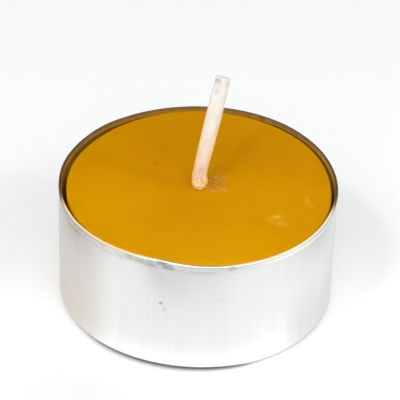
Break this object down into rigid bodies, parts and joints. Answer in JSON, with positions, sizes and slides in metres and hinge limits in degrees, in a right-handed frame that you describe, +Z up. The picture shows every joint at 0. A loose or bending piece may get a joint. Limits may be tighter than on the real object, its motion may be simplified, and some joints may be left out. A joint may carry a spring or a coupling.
{
  "type": "tea light candle",
  "caption": "Tea light candle: amber wax puck with a leaning cotton wick, standing in a round drawn aluminium cup with a folded lip.",
  "frame": {"origin": "centre of the cup's base, on the surface that the candle stands on", "axes": "+Z up, out of the wax; the front, which faces the picture's camera, is -Y; +X is to the right in the picture"},
  "size_m": [0.038, 0.038, 0.032],
  "materials": {
    "cup_aluminium": "satin, drawn",
    "amber_wax": "satin",
    "cotton_wick": "waxed",
    "tinned_steel": "bright"
  },
  "bodies": {
    "root": {"cup": "cup_aluminium", "wax": "amber_wax", "wick": "cotton_wick", "wick_sustainer": "tinned_steel"}
  },
  "joints": []
}
